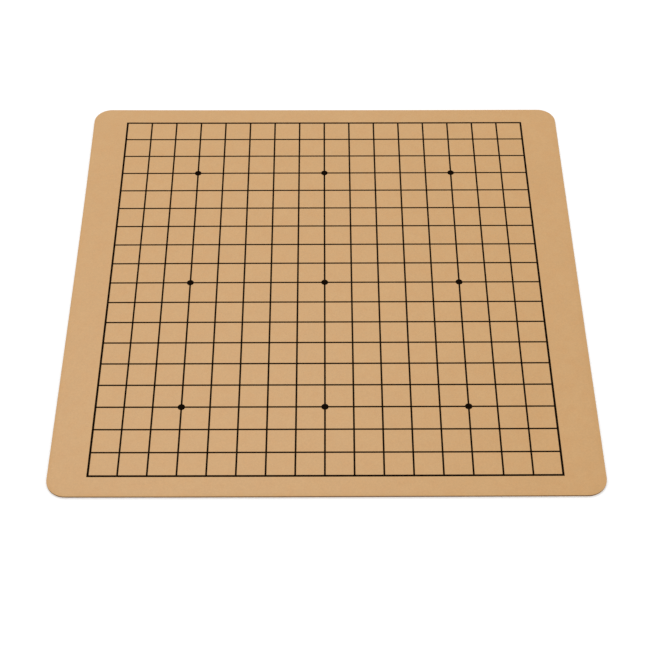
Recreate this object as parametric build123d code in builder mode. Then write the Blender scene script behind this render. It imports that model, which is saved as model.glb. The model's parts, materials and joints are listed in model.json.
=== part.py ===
from build123d import *

import os

# A flexible, reversible go board: two sheets of synthetic leather glued back to back.
# Each sheet is a soft skin on a base cloth, with a playing grid pressed into the skin and inked.
# It lies flat, centred on the origin, with its underside at Z = 0 and its far edge towards +Y.

# Printed grids, counted in lines; a star point stands on the star line, counted in from the border
front_columns = 17
front_rows = 19
reverse_columns = 13
reverse_rows = 13
star_line = 4

# Spacing of the lines, and the bare margins from the front grid's outer lines to the board's edge,
# which differ a little because the print is never quite in the middle of the cut board
column_pitch = 24.75
row_pitch = 23.7
left_margin = 34.0
right_margin = 35.4
near_margin = 20.0
far_margin = 19.2
corner_radius = 17.0

# Printed marks: the dry ink lies a little below the skin's face
line_width = 1.5
border_width = 1.85
star_diameter = 6.5
ink_thickness = 0.06
ink_set_in = 0.04

# Plies, from either face inwards; the cut cloth and the glue film end short of the skins' edge
skin_thickness = 0.45
skin_edge_round = 0.25
cloth_thickness = 0.5
cloth_inset = 0.12
glue_thickness = 0.1
glue_inset = 0.6

# Worked out from the sizes above
board_width = (front_columns - 1) * column_pitch + left_margin + right_margin
board_depth = (front_rows - 1) * row_pitch + near_margin + far_margin
print_x = (left_margin - right_margin) / 2
print_y = (near_margin - far_margin) / 2
sheet_thickness = skin_thickness + cloth_thickness
board_thickness = 2 * sheet_thickness + glue_thickness
print_recess = ink_thickness + ink_set_in
deepest_edge_round = 0.8 * skin_thickness

# The two faces, with the planes that their prints are centred on; the reverse print is in the middle
front_face = Plane.XY.offset(board_thickness)
front_print = Plane(origin=(print_x, print_y, board_thickness))
reverse_face = Plane(origin=(0, 0, 0), x_dir=(1, 0, 0), z_dir=(0, 0, -1))
reverse_print = reverse_face


def draw_outline(inset=0.0):
    """The board's outline with its round corners, drawn in by the inset."""
    RectangleRounded(
        board_width - 2 * inset,
        board_depth - 2 * inset,
        corner_radius - inset,
    )


def draw_border(columns, rows):
    """The heavier outer lines of a grid, as one closed frame."""
    width = (columns - 1) * column_pitch
    depth = (rows - 1) * row_pitch
    Rectangle(width + border_width, depth + border_width)
    Rectangle(width - border_width, depth - border_width, mode=Mode.SUBTRACT)


def draw_lines(columns, rows):
    """The inner lines of a grid, which end on the border's inner edge."""
    with GridLocations(column_pitch, row_pitch, columns - 2, 1):
        Rectangle(line_width, (rows - 1) * row_pitch - border_width)
    with GridLocations(column_pitch, row_pitch, 1, rows - 2):
        Rectangle((columns - 1) * column_pitch - border_width, line_width)


def draw_stars(columns, rows, side_stars, mode=Mode.ADD):
    """The round star points: one near each corner, one in the middle, and on a full board one midway
    along each side."""
    out_x = ((columns - 1) / 2 - (star_line - 1)) * column_pitch
    out_y = ((rows - 1) / 2 - (star_line - 1)) * row_pitch
    places = [(0, 0), (-out_x, -out_y), (out_x, -out_y), (-out_x, out_y), (out_x, out_y)]
    if side_stars:
        places += [(-out_x, 0), (out_x, 0), (0, -out_y), (0, out_y)]
    with Locations(*places):
        Circle(star_diameter / 2, mode=mode)


def printed_sheet(face, print_face, columns, rows, side_stars):
    """One sheet of synthetic leather and its print, built inwards from its face, whose normal points
    out of the board."""
    outwards = Axis(face.origin, face.z_dir)
    back_of_skin = face.offset(-skin_thickness)
    ink_bed = print_face.offset(-print_recess)

    # Soft skin, its outer edge rounded by the die, with a shallow recess under every mark
    with BuildPart() as skin:
        with BuildSketch(face):
            draw_outline()
        extrude(amount=-skin_thickness)
        fillet(skin.faces().sort_by(outwards)[-1].edges(), min(skin_edge_round, deepest_edge_round))
        with BuildSketch(print_face):
            draw_border(columns, rows)
            draw_lines(columns, rows)
            draw_stars(columns, rows, side_stars)
        extrude(amount=-print_recess, mode=Mode.SUBTRACT)

    # Base cloth that carries the skin
    with BuildPart() as base_cloth:
        with BuildSketch(back_of_skin):
            draw_outline(cloth_inset)
        extrude(amount=-cloth_thickness)

    # Ink in the recesses: the border, the inner lines and the star points
    with BuildPart() as border:
        with BuildSketch(ink_bed):
            draw_border(columns, rows)
        extrude(amount=ink_thickness)

    with BuildPart() as grid_lines:
        with BuildSketch(ink_bed):
            draw_lines(columns, rows)
            draw_stars(columns, rows, side_stars, mode=Mode.SUBTRACT)
        extrude(amount=ink_thickness)

    with BuildPart() as star_points:
        with BuildSketch(ink_bed):
            draw_stars(columns, rows, side_stars)
        extrude(amount=ink_thickness)

    return {
        "skin": skin,
        "base_cloth": base_cloth,
        "border": border,
        "grid_lines": grid_lines,
        "star_points": star_points,
    }


# Glue film that bonds the two base cloths back to back
with BuildPart() as glue_film:
    with BuildSketch(Plane.XY.offset(sheet_thickness)):
        draw_outline(glue_inset)
    extrude(amount=glue_thickness)

pieces = {"glue_film": glue_film}
sides = {
    "front": printed_sheet(front_face, front_print, front_columns, front_rows, side_stars=True),
    "reverse": printed_sheet(reverse_face, reverse_print, reverse_columns, reverse_rows, side_stars=False),
}
for side, sheet in sides.items():
    for name, piece in sheet.items():
        pieces[f"{side}_{name}"] = piece

os.makedirs("parts", exist_ok=True)
for name, piece in pieces.items():
    piece.part.label = name
    export_step(piece.part, f"parts/{name}.step")

print(f"board {board_width:.2f} x {board_depth:.2f} x {board_thickness:.2f} mm, {len(pieces)} pieces")
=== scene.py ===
import json
import math

import bpy
from mathutils import Matrix, Vector

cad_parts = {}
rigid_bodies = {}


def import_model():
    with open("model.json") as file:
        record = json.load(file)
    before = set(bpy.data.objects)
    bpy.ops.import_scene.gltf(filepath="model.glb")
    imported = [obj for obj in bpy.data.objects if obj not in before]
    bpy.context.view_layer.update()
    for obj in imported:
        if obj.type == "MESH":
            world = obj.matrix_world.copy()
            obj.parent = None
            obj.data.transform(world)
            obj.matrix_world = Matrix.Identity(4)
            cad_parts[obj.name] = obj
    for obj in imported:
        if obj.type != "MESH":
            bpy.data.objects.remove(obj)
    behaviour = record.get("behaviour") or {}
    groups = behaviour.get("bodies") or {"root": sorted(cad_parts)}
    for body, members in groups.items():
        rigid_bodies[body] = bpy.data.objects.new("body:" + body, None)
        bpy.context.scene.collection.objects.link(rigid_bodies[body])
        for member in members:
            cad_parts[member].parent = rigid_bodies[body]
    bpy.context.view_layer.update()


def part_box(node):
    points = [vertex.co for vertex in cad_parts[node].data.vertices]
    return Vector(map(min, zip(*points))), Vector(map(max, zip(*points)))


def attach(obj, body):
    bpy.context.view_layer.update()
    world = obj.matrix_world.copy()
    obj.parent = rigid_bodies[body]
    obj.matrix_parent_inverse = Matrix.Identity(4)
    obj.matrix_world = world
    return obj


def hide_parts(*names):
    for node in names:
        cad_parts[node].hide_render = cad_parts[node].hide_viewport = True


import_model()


# Base cloths: the brown polyester felt that carries each soft skin. It was cut together with the
# skin, and its edge sprang back and frayed a little, so it shows as a dark, slightly furry band
# round the board.
mm = 0.001
same_place = 0.001 * mm
corner_radius = 17.0 * mm
corner_steps = 16
edge_step = 3.0 * mm
ply_step = 12.0 * mm
fray = 0.1 * mm
fray_seeds = {"reverse": 5, "front": 8}
felt_brown = "#5C4530"
felt_light = "#7A5F43"
felt_dark = "#3E2C1C"


def linear(colour):
    """Turns an sRGB hex colour into the linear numbers that a shader takes."""
    shades = []
    for i in (1, 3, 5):
        shade = int(colour[i : i + 2], 16) / 255
        shades.append(shade / 12.92 if shade <= 0.04045 else ((shade + 0.055) / 1.055) ** 2.4)
    return shades + [1.0]


def add_node(tree, kind, options=None, values=None, links=None):
    """Adds a shader node, sets its options and input values, and links other nodes' outputs into it."""
    node = tree.nodes.new(kind)
    for name, value in (options or {}).items():
        setattr(node, name, value)
    for socket, value in (values or {}).items():
        node.inputs[socket].default_value = value
    for socket, source in (links or {}).items():
        tree.links.new(source, node.inputs[socket])
    return node


def start_finish(name, ior, specular, sheen=0.0):
    """A new material with its shader and output, and object coordinates to draw its patterns on."""
    material = bpy.data.materials.new(name)
    material.use_nodes = True
    tree = material.node_tree
    tree.nodes.clear()
    shader = add_node(
        tree,
        "ShaderNodeBsdfPrincipled",
        values={
            "IOR": ior,
            "Specular IOR Level": specular,
            "Sheen Weight": sheen,
            "Sheen Roughness": 0.5,
        },
    )
    add_node(tree, "ShaderNodeOutputMaterial", links={"Surface": shader.outputs["BSDF"]})
    place = add_node(tree, "ShaderNodeTexCoord").outputs["Object"]
    return material, tree, shader, place


def felt_finish():
    """Needled polyester felt, cut: dull, furry and speckled, lighter where fibre ends catch light."""
    material, tree, shader, place = start_finish("polyester_felt_needled_and_cut", 1.5, 0.2, 0.2)
    # Felt fibres are 0.02 mm thick, so they are drawn as tufts of 0.35 mm to show at all
    tufts = add_node(
        tree,
        "ShaderNodeTexNoise",
        values={"Scale": 1 / (0.35 * mm), "Detail": 3.0, "Roughness": 0.65},
        links={"Vector": place},
    )
    clumps = add_node(
        tree,
        "ShaderNodeTexNoise",
        values={"Scale": 1 / (2.5 * mm), "Detail": 2.0},
        links={"Vector": place},
    )
    lit = add_node(
        tree,
        "ShaderNodeMapRange",
        values={"From Min": 0.35, "From Max": 0.7},
        links={"Value": tufts.outputs["Fac"]},
    )
    shaded = add_node(
        tree,
        "ShaderNodeMapRange",
        values={"From Min": 0.4, "From Max": 0.65, "To Max": 0.6},
        links={"Value": clumps.outputs["Fac"]},
    )
    fibre = add_node(
        tree,
        "ShaderNodeMix",
        options={"data_type": "RGBA"},
        values={"A": linear(felt_brown), "B": linear(felt_light)},
        links={"Factor": lit.outputs["Result"]},
    )
    colour = add_node(
        tree,
        "ShaderNodeMix",
        options={"data_type": "RGBA"},
        values={"B": linear(felt_dark)},
        links={"Factor": shaded.outputs["Result"], "A": fibre.outputs[2]},
    )
    bump = add_node(
        tree,
        "ShaderNodeBump",
        values={"Strength": 1.0, "Distance": 0.08 * mm},
        links={"Height": tufts.outputs["Fac"]},
    )
    tree.links.new(colour.outputs[2], shader.inputs["Base Color"])
    tree.links.new(bump.outputs["Normal"], shader.inputs["Normal"])
    shader.inputs["Roughness"].default_value = 0.95
    return material


def pick_piece(piece):
    """Selects one piece and makes it the active one, with nothing else selected."""
    bpy.ops.object.select_all(action="DESELECT")
    piece.select_set(True)
    bpy.context.view_layer.objects.active = piece


def edit(piece):
    """Opens one piece in edit mode, with nothing else selected."""
    pick_piece(piece)
    bpy.ops.object.mode_set(mode="EDIT")


def pick_points(piece, wanted):
    """Selects, in edit mode, the points that pass the test, and nothing else."""
    bpy.ops.mesh.select_mode(type="VERT")
    bpy.ops.mesh.select_all(action="DESELECT")
    bpy.ops.object.mode_set(mode="OBJECT")
    for point in piece.data.vertices:
        point.select = wanted(point.co)
    bpy.ops.object.mode_set(mode="EDIT")


def pick_edges(piece, wanted):
    """Selects, in edit mode, the edges whose two ends both pass the test, and nothing else."""
    bpy.ops.mesh.select_mode(type="EDGE")
    bpy.ops.mesh.select_all(action="DESELECT")
    bpy.ops.object.mode_set(mode="OBJECT")
    points = piece.data.vertices
    for edge in piece.data.edges:
        edge.select = all(wanted(points[i].co) for i in edge.vertices)
    bpy.ops.object.mode_set(mode="EDIT")


def cut_across(places, direction):
    """Cuts everything in edit mode straight through at each place along the direction."""
    for place in places:
        bpy.ops.mesh.select_all(action="SELECT")
        bpy.ops.mesh.bisect(plane_co=Vector(direction) * place, plane_no=direction)


def cut_sheet(name, node, side_cuts=0):
    """A flat sheet with round corners that fills the CAD node's box, open in edit mode."""
    low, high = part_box(node)
    bpy.ops.object.select_all(action="DESELECT")
    bpy.ops.mesh.primitive_plane_add(size=1, location=(0, 0, low.z))
    sheet = bpy.context.object
    sheet.name = name
    sheet.scale = (high.x - low.x, high.y - low.y, 1)
    bpy.ops.object.transform_apply(location=True, rotation=False, scale=True)
    edit(sheet)
    bpy.ops.mesh.select_all(action="SELECT")
    bpy.ops.mesh.bevel(affect="VERTICES", offset=corner_radius, segments=corner_steps)
    if side_cuts:
        pick_edges(sheet, lambda co: abs(abs(co.y) - high.y) < same_place)
        bpy.ops.mesh.subdivide(number_cuts=side_cuts)
        pick_edges(sheet, lambda co: abs(abs(co.x) - high.x) < same_place)
        bpy.ops.mesh.subdivide(number_cuts=side_cuts)
    bpy.ops.mesh.select_all(action="SELECT")
    bpy.ops.mesh.extrude_region_move(TRANSFORM_OT_translate={"value": (0, 0, high.z - low.z)})
    bpy.ops.mesh.select_all(action="SELECT")
    bpy.ops.mesh.normals_make_consistent(inside=False)
    return sheet


def ply_places(limit):
    """Where a ply is cut along one axis, so that it can follow the lie of the board."""
    count = int(limit / ply_step)
    return [i * ply_step for i in range(-count, count + 1)]


def dress(piece, node, material):
    """Gives a piece its finish, and lets it stand for its CAD node."""
    piece.data.materials.append(material)
    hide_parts(node)
    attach(piece, "root")


felt = felt_finish()
laid_pieces = []
for side, seed in fray_seeds.items():
    node = side + "_base_cloth"
    low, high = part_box(node)
    cloth = cut_sheet(node + "_ply", node, side_cuts=round((high.x - low.x) / edge_step))
    middle = (low.z + high.z) / 2
    cut_across([middle], (0, 0, 1))
    pick_points(cloth, lambda co: abs(co.z - middle) < same_place)
    bpy.ops.transform.vertex_random(offset=fray, uniform=0.0, normal=1.0, seed=seed)
    cut_across(ply_places(high.x), (1, 0, 0))
    cut_across(ply_places(high.y), (0, 1, 0))
    bpy.ops.object.mode_set(mode="OBJECT")
    dress(cloth, node, felt)
    laid_pieces.append(cloth)


# Skins: the soft polyurethane faces, foamed and coated on the base cloths and embossed with a fine
# hide grain. The die that cut the board rounded their edges, and a hot stamp pressed every grid line
# 0.1 mm in.
edge_round = 0.3 * mm
edge_steps = 4
shoulder = 0.16 * mm
stamp_depth = 0.1 * mm
line_width = 1.5 * mm
border_width = 1.85 * mm
smooth_angle = math.radians(20)
tan = "#C49863"
tan_light = "#CCA16C"
tan_warm = "#C89861"
# The cut edge's tan: the foam's own colour, made darker still as painted shade on the upright edge
tan_cut_with_painted_shade = "#A67C50"
grids = {"reverse": (13, 13), "front": (17, 19)}
outwards = {"reverse": -1, "front": 1}
# A face's normal has at least the first height where it faces outwards, and at most the second
# where it faces sideways
out_facing = 0.9
side_facing = 0.3


def leatherette_finish():
    """Polyurethane leatherette, embossed with a fine hide grain: soft and dry, with a faint broad sheen
    towards the light and slow clouds of lighter and warmer tan."""
    material, tree, shader, place = start_finish("polyurethane_leatherette_embossed", 1.4, 0.45, 0.03)
    cloud = add_node(
        tree,
        "ShaderNodeTexNoise",
        values={"Scale": 1 / (38 * mm), "Detail": 3.0, "Roughness": 0.55},
        links={"Vector": place},
    )
    patch = add_node(
        tree,
        "ShaderNodeTexNoise",
        values={"Scale": 1 / (9 * mm), "Detail": 2.0, "Roughness": 0.5},
        links={"Vector": place},
    )
    # The true grain is about 0.5 mm, so a second one of 1.4 mm is laid over it to show from a step away
    grain = add_node(
        tree,
        "ShaderNodeTexNoise",
        values={"Scale": 1 / (1.4 * mm), "Detail": 4.0, "Roughness": 0.7},
        links={"Vector": place},
    )
    pebble = add_node(
        tree,
        "ShaderNodeTexVoronoi",
        options={"feature": "SMOOTH_F1"},
        values={"Scale": 1 / (0.9 * mm), "Smoothness": 0.6},
        links={"Vector": place},
    )
    lighter = add_node(
        tree,
        "ShaderNodeMix",
        options={"data_type": "RGBA"},
        values={"A": linear(tan), "B": linear(tan_light)},
        links={"Factor": cloud.outputs["Fac"]},
    )
    warm_patch = add_node(
        tree,
        "ShaderNodeMapRange",
        values={"From Min": 0.4, "From Max": 0.7, "To Max": 0.5},
        links={"Value": patch.outputs["Fac"]},
    )
    warmer = add_node(
        tree,
        "ShaderNodeMix",
        options={"data_type": "RGBA"},
        values={"B": linear(tan_warm)},
        links={"Factor": warm_patch.outputs["Result"], "A": lighter.outputs[2]},
    )
    grain_shade = add_node(
        tree,
        "ShaderNodeMapRange",
        values={"From Min": 0.3, "From Max": 0.7, "To Min": 0.94, "To Max": 1.06},
        links={"Value": grain.outputs["Fac"]},
    )
    shaded = add_node(
        tree,
        "ShaderNodeVectorMath",
        options={"operation": "SCALE"},
        links={0: warmer.outputs[2], "Scale": grain_shade.outputs["Result"]},
    )
    height = add_node(
        tree,
        "ShaderNodeMath",
        options={"operation": "ADD"},
        links={0: grain.outputs["Fac"], 1: pebble.outputs["Distance"]},
    )
    bump = add_node(
        tree,
        "ShaderNodeBump",
        values={"Strength": 1.0, "Distance": 0.05 * mm},
        links={"Height": height.outputs["Value"]},
    )
    dryness = add_node(
        tree,
        "ShaderNodeMapRange",
        values={"To Min": 0.35, "To Max": 0.43},
        links={"Value": cloud.outputs["Fac"]},
    )
    tree.links.new(shaded.outputs["Vector"], shader.inputs["Base Color"])
    tree.links.new(dryness.outputs["Result"], shader.inputs["Roughness"])
    tree.links.new(bump.outputs["Normal"], shader.inputs["Normal"])
    return material


def cut_skin_and_painted_shade_finish():
    """The same skin where the die cut it: its foam shows, dull and with short upright tears. It is
    darker partly from the foam's own colour and partly as painted shade on the upright edge.
    """
    material, tree, shader, place = start_finish("polyurethane_foam_die_cut_with_painted_shade", 1.4, 0.2)
    upright = add_node(
        tree,
        "ShaderNodeMapping",
        values={"Scale": (1.0, 1.0, 0.25)},
        links={"Vector": place},
    )
    # Foam cells are 0.05 mm across, and are drawn at 0.4 mm to show
    cells = add_node(
        tree,
        "ShaderNodeTexNoise",
        values={"Scale": 1 / (0.4 * mm), "Detail": 3.0, "Roughness": 0.6},
        links={"Vector": upright.outputs["Vector"]},
    )
    colour = add_node(
        tree,
        "ShaderNodeMix",
        options={"data_type": "RGBA"},
        values={"A": linear(tan_cut_with_painted_shade), "B": linear(tan)},
        links={"Factor": cells.outputs["Fac"]},
    )
    bump = add_node(
        tree,
        "ShaderNodeBump",
        values={"Strength": 0.8, "Distance": 0.05 * mm},
        links={"Height": cells.outputs["Fac"]},
    )
    tree.links.new(colour.outputs[2], shader.inputs["Base Color"])
    tree.links.new(bump.outputs["Normal"], shader.inputs["Normal"])
    shader.inputs["Roughness"].default_value = 0.9
    return material


def pick_faces(piece, wanted):
    """Selects, in edit mode, the faces whose centre and normal pass the test, and nothing else."""
    bpy.ops.mesh.select_mode(type="FACE")
    bpy.ops.mesh.select_all(action="DESELECT")
    bpy.ops.object.mode_set(mode="OBJECT")
    for face in piece.data.polygons:
        face.select = wanted(face.center, face.normal)
    bpy.ops.object.mode_set(mode="EDIT")


def line_places(side):
    """Where the lines of a side's grid stand across and along the board."""
    low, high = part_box(side + "_border")
    places = []
    for axis, count in enumerate(grids[side]):
        first, last = low[axis] + border_width / 2, high[axis] - border_width / 2
        places.append([first + i * (last - first) / (count - 1) for i in range(count)])
    return places


def cut_places(lines, limit):
    """Where a skin is cut along one axis: at both sides of every line and of its shoulders, halfway
    between the lines, and through the bare margins."""
    pitch = lines[1] - lines[0]
    places = []
    for line in lines:
        half = border_width / 2 if line in (lines[0], lines[-1]) else line_width / 2
        places += [line - half - shoulder, line - half, line + half, line + half + shoulder]
    places += [line + pitch / 2 for line in lines[:-1]]
    margin = limit - max(abs(lines[0]), abs(lines[-1]))
    steps = max(2, round(margin / (pitch / 2)))
    for i in range(1, steps + 1):
        places.append(lines[0] - border_width - margin * (i - 0.5) / steps)
        places.append(lines[-1] + border_width + margin * (i - 0.5) / steps)
    return sorted(place for place in places if abs(place) < limit - 2 * edge_round)


def near_any(value, lines, width):
    """Whether a value lies within this width at any of the lines."""
    return any(abs(value - line) < width / 2 for line in lines)


def in_frame(across, along, centre, spare):
    """Whether a face's centre lies between a grid's outer lines, or in the spare space round them."""
    on_x = across[0] - spare < centre.x < across[-1] + spare
    on_y = along[0] - spare < centre.y < along[-1] + spare
    return on_x and on_y


def in_border(across, along, centre):
    """Whether a face's centre lies in the border of the grid with these lines."""
    on_x = near_any(centre.x, (across[0], across[-1]), border_width)
    on_y = near_any(centre.y, (along[0], along[-1]), border_width)
    return in_frame(across, along, centre, border_width / 2) and (on_x or on_y)


def in_lines(across, along, centre):
    """Whether a face's centre lies in the inner lines of the grid with these lines."""
    on_x = near_any(centre.x, across[1:-1], line_width)
    on_y = near_any(centre.y, along[1:-1], line_width)
    return in_frame(across, along, centre, -border_width / 2) and (on_x or on_y)


leather = leatherette_finish()
leather_cut_with_painted_shade = cut_skin_and_painted_shade_finish()
skins = {}
for side, up in outwards.items():
    node = side + "_skin"
    low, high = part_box(node)
    face_height = high.z if up > 0 else low.z
    across, along = line_places(side)
    skin = cut_sheet(side + "_leatherette_skin", node)
    pick_edges(skin, lambda co: abs(co.z - face_height) < same_place)
    bpy.ops.mesh.bevel(affect="EDGES", offset=edge_round, segments=edge_steps)
    cut_across(cut_places(across, high.x), (1, 0, 0))
    cut_across(cut_places(along, high.y), (0, 1, 0))

    def in_grid(centre, normal):
        marked = in_border(across, along, centre) or in_lines(across, along, centre)
        return normal.z * up > out_facing and marked

    pick_faces(skin, in_grid)
    bpy.ops.transform.translate(value=(0, 0, -up * stamp_depth))
    bpy.ops.object.mode_set(mode="OBJECT")
    dress(skin, node, leather)
    skins[side] = skin
    laid_pieces.append(skin)


# Printed grids: near-black stamping ink that dried at the bottom of the pressed lines, a little below
# the skin's face. Each side has a heavier border, a net of inner lines, and round star points.
ink_set_in = 0.04 * mm
star_diameter = 6.5 * mm
star_line = 4
star_corners = 48
rim = 0.4 * mm
dish = 0.012 * mm
ink_black = "#120A04"
ink_worn = "#2E1C0C"


def ink_finish():
    """Matte stamping ink on grained leatherette: near-black, dry, and browner in small flecks where the
    grain stands up through it."""
    material, tree, shader, place = start_finish("stamping_ink_dried_matte", 1.45, 0.01)
    flecks = add_node(
        tree,
        "ShaderNodeTexNoise",
        values={"Scale": 1 / (0.5 * mm), "Detail": 3.0, "Roughness": 0.7},
        links={"Vector": place},
    )
    wear = add_node(
        tree,
        "ShaderNodeTexNoise",
        values={"Scale": 1 / (24 * mm), "Detail": 2.0},
        links={"Vector": place},
    )
    fleck_share = add_node(
        tree,
        "ShaderNodeMapRange",
        values={"From Min": 0.55, "From Max": 0.75, "To Max": 0.7},
        links={"Value": flecks.outputs["Fac"]},
    )
    wear_share = add_node(
        tree,
        "ShaderNodeMapRange",
        values={"From Min": 0.4, "From Max": 0.7, "To Min": 0.15, "To Max": 0.9},
        links={"Value": wear.outputs["Fac"]},
    )
    worn = add_node(
        tree,
        "ShaderNodeMath",
        options={"operation": "MULTIPLY"},
        links={0: fleck_share.outputs["Result"], 1: wear_share.outputs["Result"]},
    )
    colour = add_node(
        tree,
        "ShaderNodeMix",
        options={"data_type": "RGBA"},
        values={"A": linear(ink_black), "B": linear(ink_worn)},
        links={"Factor": worn.outputs["Value"]},
    )
    dryness = add_node(
        tree,
        "ShaderNodeMapRange",
        values={"To Min": 0.65, "To Max": 0.9},
        links={"Value": flecks.outputs["Fac"]},
    )
    bump = add_node(
        tree,
        "ShaderNodeBump",
        values={"Strength": 0.6, "Distance": 0.02 * mm},
        links={"Height": flecks.outputs["Fac"]},
    )
    tree.links.new(colour.outputs[2], shader.inputs["Base Color"])
    tree.links.new(dryness.outputs["Result"], shader.inputs["Roughness"])
    tree.links.new(bump.outputs["Normal"], shader.inputs["Normal"])
    return material


def lift_ink(skin, name, inside, thickness):
    """Copies the floor of the pressed lines off a skin and thickens it into a film of ink."""
    edit(skin)
    before = set(bpy.data.objects)
    pick_faces(skin, inside)
    bpy.ops.mesh.duplicate()
    bpy.ops.mesh.separate(type="SELECTED")
    bpy.ops.object.mode_set(mode="OBJECT")
    film = (set(bpy.data.objects) - before).pop()
    film.name = name
    film.data.materials.clear()
    edit(film)
    bpy.ops.mesh.select_all(action="SELECT")
    bpy.ops.mesh.extrude_region_move(TRANSFORM_OT_translate={"value": (0, 0, thickness)})
    bpy.ops.mesh.select_all(action="SELECT")
    bpy.ops.mesh.normals_make_consistent(inside=False)
    bpy.ops.object.mode_set(mode="OBJECT")
    return film


def star_spots(side):
    """Where the star points stand: near the corners, in the middle and, on the full board, midway along
    the sides."""
    across, along = line_places(side)
    near = star_line - 1
    left, right, first, last = across[near], across[-star_line], along[near], along[-star_line]
    mid_x, mid_y = across[len(across) // 2], along[len(along) // 2]
    spots = [(mid_x, mid_y), (left, first), (right, first), (left, last), (right, last)]
    if side == "front":
        spots += [(left, mid_y), (right, mid_y), (mid_x, first), (mid_x, last)]
    return spots


def round_blank(spot, height, depth):
    """A plain round blank of the stars' diameter, centred at the spot and height."""
    bpy.ops.object.select_all(action="DESELECT")
    bpy.ops.mesh.primitive_cylinder_add(
        vertices=star_corners,
        radius=star_diameter / 2,
        depth=depth,
        location=(*spot, height),
    )
    return bpy.context.object


def set_out(first, spots, name):
    """Copies a round piece from the first spot to the others, and joins them all in one mesh."""
    parts = [first]
    for spot in spots[1:]:
        pick_piece(first)
        bpy.ops.object.duplicate()
        bpy.ops.transform.translate(value=(spot[0] - spots[0][0], spot[1] - spots[0][1], 0))
        parts.append(bpy.context.object)
    pick_piece(first)
    for part in parts:
        part.select_set(True)
    bpy.ops.object.join()
    bpy.ops.object.transform_apply(location=True, rotation=True, scale=True)
    first.name = name
    return first


def apply_modifiers(piece):
    """Applies a piece's modifiers, in their order."""
    pick_piece(piece)
    for modifier in list(piece.modifiers):
        bpy.ops.object.modifier_apply(modifier=modifier.name)


ink = ink_finish()
for side, up in outwards.items():
    skin = skins[side]
    low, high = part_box(side + "_skin")
    face_height = high.z if up > 0 else low.z
    floor_height = face_height - up * stamp_depth
    film = stamp_depth - ink_set_in
    across, along = line_places(side)

    def on_floor(centre, normal):
        return normal.z * up > out_facing and abs(centre.z - floor_height) < same_place

    border = lift_ink(
        skin,
        side + "_border_ink",
        lambda centre, normal: on_floor(centre, normal) and in_border(across, along, centre),
        up * film,
    )
    lines = lift_ink(
        skin,
        side + "_grid_lines_ink",
        lambda centre, normal: on_floor(centre, normal) and in_lines(across, along, centre),
        up * film,
    )

    # A star point dries thinner in the middle than at its rim, so its face is slightly dished
    spots = star_spots(side)
    star = round_blank(spots[0], floor_height + up * film / 2, film)
    edit(star)
    pick_faces(star, lambda centre, normal: normal.z * up > out_facing)
    bpy.ops.mesh.inset(thickness=rim)
    bpy.ops.transform.translate(value=(0, 0, -up * dish))
    bpy.ops.object.mode_set(mode="OBJECT")
    stars = set_out(star, spots, side + "_star_points_ink")

    # The stamp's round punches press the stars' beds into the skin, and the lines stop at them
    punch = set_out(round_blank(spots[0], face_height, 2 * stamp_depth), spots, side + "_punch")
    for piece in (skin, lines):
        bed = piece.modifiers.new("star_bed", "BOOLEAN")
        bed.operation = "DIFFERENCE"
        bed.object = punch
        bed.solver = "EXACT"
        apply_modifiers(piece)
    bpy.data.objects.remove(punch)

    marks = {"border": border, "grid_lines": lines, "star_points": stars}
    for mark, piece in marks.items():
        dress(piece, f"{side}_{mark}", ink)
        laid_pieces.append(piece)

    # The skin's cut edge gets its own finish, darker partly as painted shade, once nothing more is cut
    # into it
    def on_cut_edge(centre, normal):
        return abs(normal.z) < side_facing and abs(centre.z - face_height) > edge_round

    skin.data.materials.append(leather_cut_with_painted_shade)
    edit(skin)
    pick_faces(skin, on_cut_edge)
    skin.active_material_index = 1
    bpy.ops.object.material_slot_assign()
    bpy.ops.object.mode_set(mode="OBJECT")


# Glue film: contact adhesive rolled onto both base cloths, which were then pressed back to back. It
# stops short of the cut edge, where it shows as a thin dark gap between the two furry bands.
glue_amber = "#8F6B42"
glue_pale = "#B39468"


def glue_finish():
    """Contact adhesive, rolled on and dried: amber, slightly shiny, streaked along the roller's path."""
    material, tree, shader, place = start_finish("contact_adhesive_rolled_and_dried", 1.5, 0.5)
    rolled = add_node(
        tree,
        "ShaderNodeMapping",
        values={"Scale": (0.15, 1.0, 1.0)},
        links={"Vector": place},
    )
    streaks = add_node(
        tree,
        "ShaderNodeTexNoise",
        values={"Scale": 1 / (1.5 * mm), "Detail": 3.0},
        links={"Vector": rolled.outputs["Vector"]},
    )
    colour = add_node(
        tree,
        "ShaderNodeMix",
        options={"data_type": "RGBA"},
        values={"A": linear(glue_amber), "B": linear(glue_pale)},
        links={"Factor": streaks.outputs["Fac"]},
    )
    gloss = add_node(
        tree,
        "ShaderNodeMapRange",
        values={"To Min": 0.25, "To Max": 0.5},
        links={"Value": streaks.outputs["Fac"]},
    )
    tree.links.new(colour.outputs[2], shader.inputs["Base Color"])
    tree.links.new(gloss.outputs["Result"], shader.inputs["Roughness"])
    return material


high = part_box("glue_film")[1]
glue = cut_sheet("glue_film_ply", "glue_film")
cut_across(ply_places(high.x), (1, 0, 0))
cut_across(ply_places(high.y), (0, 1, 0))
bpy.ops.object.mode_set(mode="OBJECT")
dress(glue, "glue_film", glue_finish())
laid_pieces.append(glue)


# Lie of the board: it is limp and was stored rolled up, so on the table its far left corner still
# stands up a little and its lines wander by up to half a millimetre. All plies bend as one sheet.
lie_size = 0.56
lie_height = 0.02
lie_points = 6
lie_layers = 2
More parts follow.
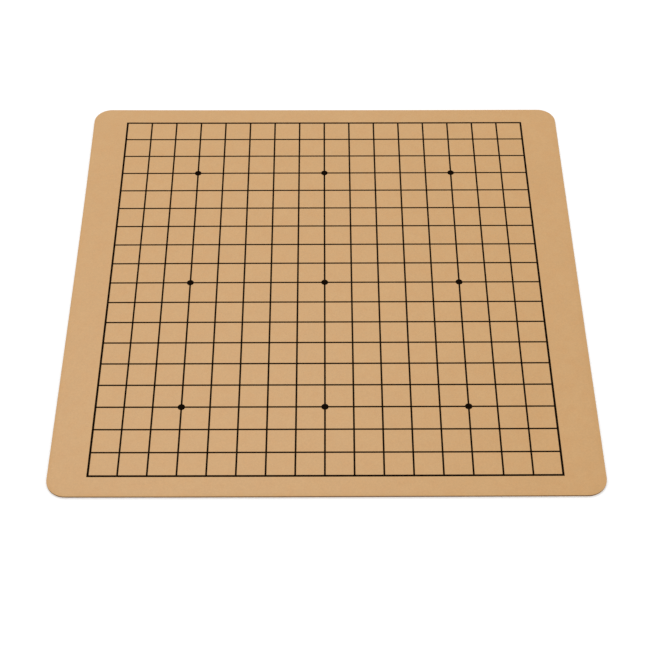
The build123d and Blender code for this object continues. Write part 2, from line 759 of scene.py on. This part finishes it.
# How far in mm a point of the bending lattice moves, by its column from the left and its row from
# the near edge
lie_shifts = {
    (0, 5): (-1.0, 0.3, 2.6),
    (1, 5): (-0.6, 0.0, 1.2),
    (2, 5): (0.0, 0.0, 0.8),
    (0, 4): (0.3, 0.0, 0.4),
    (0, 3): (1.3, -0.5, 0.0),
    (0, 2): (1.2, 0.0, 0.0),
    (0, 1): (0.9, 0.6, 0.0),
    (0, 0): (0.5, 0.3, 0.0),
    (2, 0): (-0.5, -0.2, 0.0),
    (3, 0): (-0.8, -0.2, 0.0),
    (5, 1): (0.6, 0.7, 0.0),
    (5, 0): (0.8, 0.0, 0.0),
}

bpy.ops.object.select_all(action="DESELECT")
bpy.ops.object.add(type="LATTICE")
lie = bpy.context.object
lie.name = "board_lie"
lie.scale = (lie_size, lie_size, lie_height)
lie.data.points_u = lie_points
lie.data.points_v = lie_points
lie.data.points_w = lie_layers
for (column, row), shift in lie_shifts.items():
    for layer in range(lie_layers):
        point = lie.data.points[layer * lie_points**2 + row * lie_points + column]
        point.co_deform += Vector([offset * mm / size for offset, size in zip(shift, lie.scale)])
bpy.context.view_layer.update()
for piece in laid_pieces:
    bend = piece.modifiers.new("lie", "LATTICE")
    bend.object = lie
    apply_modifiers(piece)
    bpy.ops.object.shade_smooth_by_angle(angle=smooth_angle)
bpy.data.objects.remove(lie)


# Camera: where the photograph was taken from, in front of the board and looking down on it
camera_place = Vector((-0.522, -918.321, 1054.575)) * mm
camera_down = 50.498
camera_roll = -0.163

bpy.ops.object.select_all(action="DESELECT")
bpy.ops.object.camera_add()
camera = bpy.context.object
camera.data.sensor_width = 36
camera.data.lens = 83.996
camera.data.clip_end = 100
camera.matrix_world = (
    Matrix.Translation(camera_place)
    @ Matrix.Rotation(math.radians(90 - camera_down), 4, "X")
    @ Matrix.Rotation(math.radians(camera_roll), 4, "Z")
)
bpy.context.scene.camera = camera


# Floor: white paper. It shows as white to the camera and in reflections, and keeps the board's shadow.
floor_size = 40
paper_white = 0.86
paper_lift = 0.21


def seen_directly(tree):
    """1 for rays that show the background: from the camera, by a reflection or through glass."""
    path = add_node(tree, "ShaderNodeLightPath")
    seen = path.outputs["Is Camera Ray"]
    for ray in ("Is Glossy Ray", "Is Transmission Ray"):
        either = add_node(
            tree,
            "ShaderNodeMath",
            options={"operation": "MAXIMUM"},
            links={0: seen, 1: path.outputs[ray]},
        )
        seen = either.outputs["Value"]
    return seen


bpy.ops.object.select_all(action="DESELECT")
bpy.ops.mesh.primitive_plane_add(size=floor_size)
floor = bpy.context.object
floor.name = "floor"
paper = bpy.data.materials.new("white_paper_matte")
paper.use_nodes = True
tree = paper.node_tree
tree.nodes.clear()
matte = add_node(
    tree,
    "ShaderNodeBsdfDiffuse",
    values={"Color": (paper_white, paper_white, paper_white, 1)},
)
lift = add_node(
    tree,
    "ShaderNodeMath",
    options={"operation": "MULTIPLY"},
    values={1: paper_lift},
    links={0: seen_directly(tree)},
)
glow = add_node(tree, "ShaderNodeEmission", links={"Strength": lift.outputs["Value"]})
both = add_node(
    tree,
    "ShaderNodeAddShader",
    links={0: matte.outputs["BSDF"], 1: glow.outputs["Emission"]},
)
add_node(tree, "ShaderNodeOutputMaterial", links={"Surface": both.outputs["Shader"]})
floor.data.materials.append(paper)


# Light: an even white studio all round, and one wide soft lamp behind and above the board
sky_level = 0.84
lamp_place = Vector((-0.5, 2.0, 3.3))
lamp_width = 1.8
lamp_depth = 0.6
lamp_energy = 34.0

world = bpy.data.worlds.new("studio")
bpy.context.scene.world = world
world.use_nodes = True
tree = world.node_tree
tree.nodes.clear()
strength = add_node(
    tree,
    "ShaderNodeMix",
    options={"data_type": "FLOAT"},
    values={"A": sky_level, "B": 1.0},
    links={"Factor": seen_directly(tree)},
)
sky = add_node(
    tree,
    "ShaderNodeBackground",
    values={"Color": (1, 1, 1, 1)},
    links={"Strength": strength.outputs["Result"]},
)
add_node(tree, "ShaderNodeOutputWorld", links={"Surface": sky.outputs["Background"]})

bpy.ops.object.light_add(type="AREA", location=lamp_place)
lamp = bpy.context.object
lamp.data.shape = "RECTANGLE"
lamp.data.size = lamp_width
lamp.data.size_y = lamp_depth
lamp.data.energy = lamp_energy
lamp.rotation_euler = (-lamp_place).to_track_quat("-Z", "Y").to_euler()

bpy.context.scene.view_settings.view_transform = "Standard"
